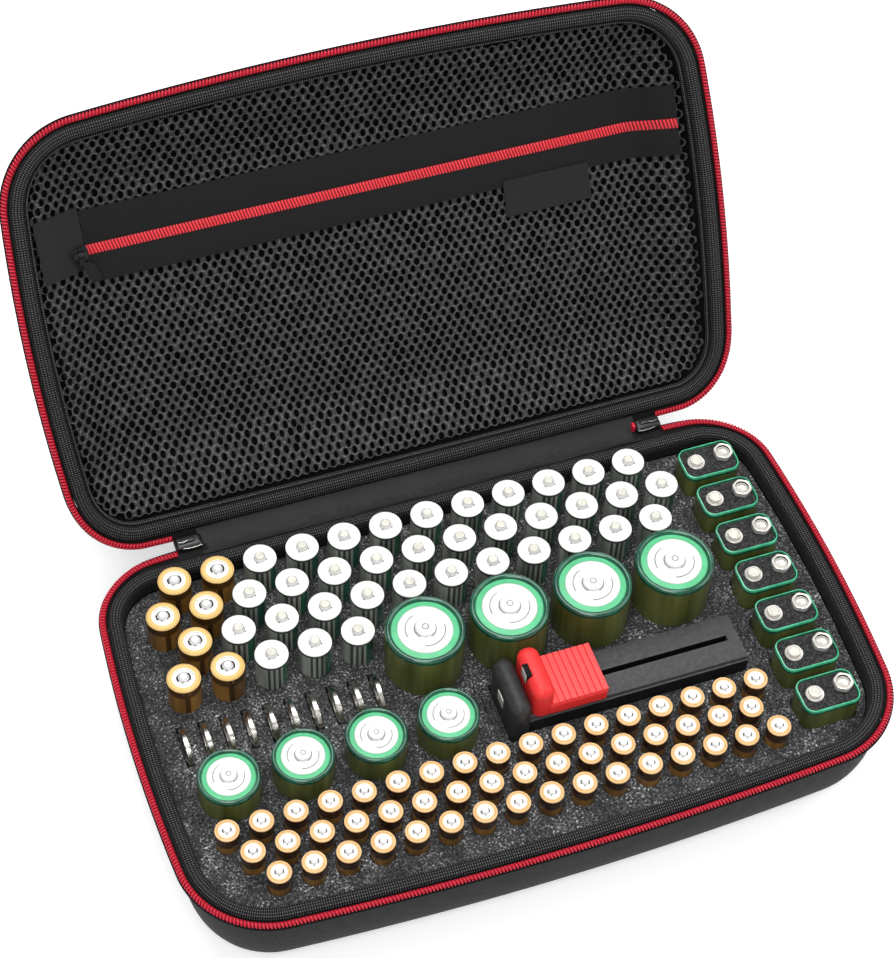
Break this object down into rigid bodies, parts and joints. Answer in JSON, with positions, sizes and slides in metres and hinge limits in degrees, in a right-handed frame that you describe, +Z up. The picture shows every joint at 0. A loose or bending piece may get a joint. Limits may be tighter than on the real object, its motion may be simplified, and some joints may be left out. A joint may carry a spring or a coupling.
{
  "type": "battery organizer case",
  "caption": "Zip-around organizer case, lid open, with a foam insert full of round, block and button cells, a sliding cell tester and a mesh pocket in the lid",
  "frame": {"origin": "centre of the flat underside of the base", "axes": "+X to the right along the long side, +Y towards the hinge, +Z up; the lid is stored open, as in the picture"},
  "size_m": [0.325, 0.3287, 0.2162],
  "materials": {
    "shell_fabric": "fine woven cover over a moulded shell",
    "ribbed_binding": "ribbed woven binding",
    "black_fabric": "plain woven tape",
    "hinge_fabric": "smooth satin cloth",
    "red_coil": "zip coil",
    "foam": "closed-cell foam",
    "mesh": "open knitted mesh",
    "slider_metal": "gloss black",
    "pull_rubber": "satin",
    "tester_plastic": "satin moulded",
    "tester_red": "gloss moulded",
    "contact_metal": "plated contact",
    "green_sleeve": "printed sleeve over a metal can",
    "block_case": "printed metal case",
    "button_steel": "polished",
    "gold_sleeve": "metallic sleeve over a metal can",
    "pale_sleeve": "pale sleeve over a metal can",
    "orange_sleeve": "metallic sleeve over a metal can"
  },
  "bodies": {
    "case_base": {"base_shell": "shell_fabric", "base_binding": "ribbed_binding", "base_zip_tape": "black_fabric", "base_zip_coil": "red_coil", "foam_pad": "foam", "foam_insert": "foam", "hinge_strip": "hinge_fabric", "zip_slider_left": "slider_metal", "zip_slider_right": "slider_metal", "tester_body": "tester_plastic", "tester_contact": "contact_metal", "d_cell_1": "green_sleeve", "d_cell_2": "green_sleeve", "d_cell_3": "green_sleeve", "d_cell_4": "green_sleeve", "c_cell_1": "green_sleeve", "c_cell_2": "green_sleeve", "c_cell_3": "green_sleeve", "c_cell_4": "green_sleeve", "block_cell_1": "block_case", "block_cell_2": "block_case", "block_cell_3": "block_case", "block_cell_4": "block_case", "block_cell_5": "block_case", "block_cell_6": "block_case", "block_cell_7": "block_case", "button_cells": "button_steel", "aa_gold_row_1": "gold_sleeve", "aa_gold_row_2": "gold_sleeve", "aa_gold_row_3": "gold_sleeve", "aa_gold_row_4": "gold_sleeve", "aa_white_row_1": "pale_sleeve", "aa_white_row_2": "pale_sleeve", "aa_white_row_3": "pale_sleeve", "aa_white_row_4": "pale_sleeve", "aaa_row_1": "orange_sleeve", "aaa_row_2": "orange_sleeve", "aaa_row_3": "orange_sleeve"},
    "lid": {"lid_shell": "shell_fabric", "lid_binding": "ribbed_binding", "lid_piping": "black_fabric", "lid_zip_tape": "black_fabric", "lid_zip_coil": "red_coil", "mesh_panel": "mesh", "pocket_band_front": "black_fabric", "pocket_band_rear": "black_fabric", "pocket_zip_coil": "red_coil", "pocket_end_patch": "black_fabric", "label_tab": "hinge_fabric"},
    "tester_slide": {"tester_slider": "tester_red", "tester_slider_contact": "contact_metal"},
    "pull_left": {"pull_tab_left": "pull_rubber"},
    "pull_right": {"pull_tab_right": "pull_rubber"},
    "pocket_slide": {"pocket_zip_slider": "slider_metal"},
    "pocket_pull": {"pocket_pull_tab": "pull_rubber"}
  },
  "joints": [
    {"name": "lid_hinge", "type": "hinge", "parent": "case_base", "child": "lid", "pos_m": [0, 0.10415, 0.0456], "axis": [1, 0, 0], "range_deg": [-58.3, 121.7], "deforming": ["hinge_strip"]},
    {"name": "tester_slide", "type": "slide", "parent": "case_base", "child": "tester_slide", "axis": [1, 0, 0], "range_m": [0, 0.058]},
    {"name": "pull_left", "type": "hinge", "parent": "case_base", "child": "pull_left", "pos_m": [-0.11096, 0.10169, 0.03989], "axis": [1, 0, 0], "range_deg": [-10, 60]},
    {"name": "pull_right", "type": "hinge", "parent": "case_base", "child": "pull_right", "pos_m": [0.11096, 0.10169, 0.03989], "axis": [1, 0, 0], "range_deg": [-10, 60]},
    {"name": "pocket_zip", "type": "slide", "parent": "lid", "child": "pocket_slide", "axis": [1, 0, 0], "range_m": [0, 0.239]},
    {"name": "pocket_pull", "type": "hinge", "parent": "pocket_slide", "child": "pocket_pull", "pos_m": [-0.12925, 0.18707, 0.15206], "axis": [1, 0, 0], "range_deg": [-150, 0]}
  ]
}
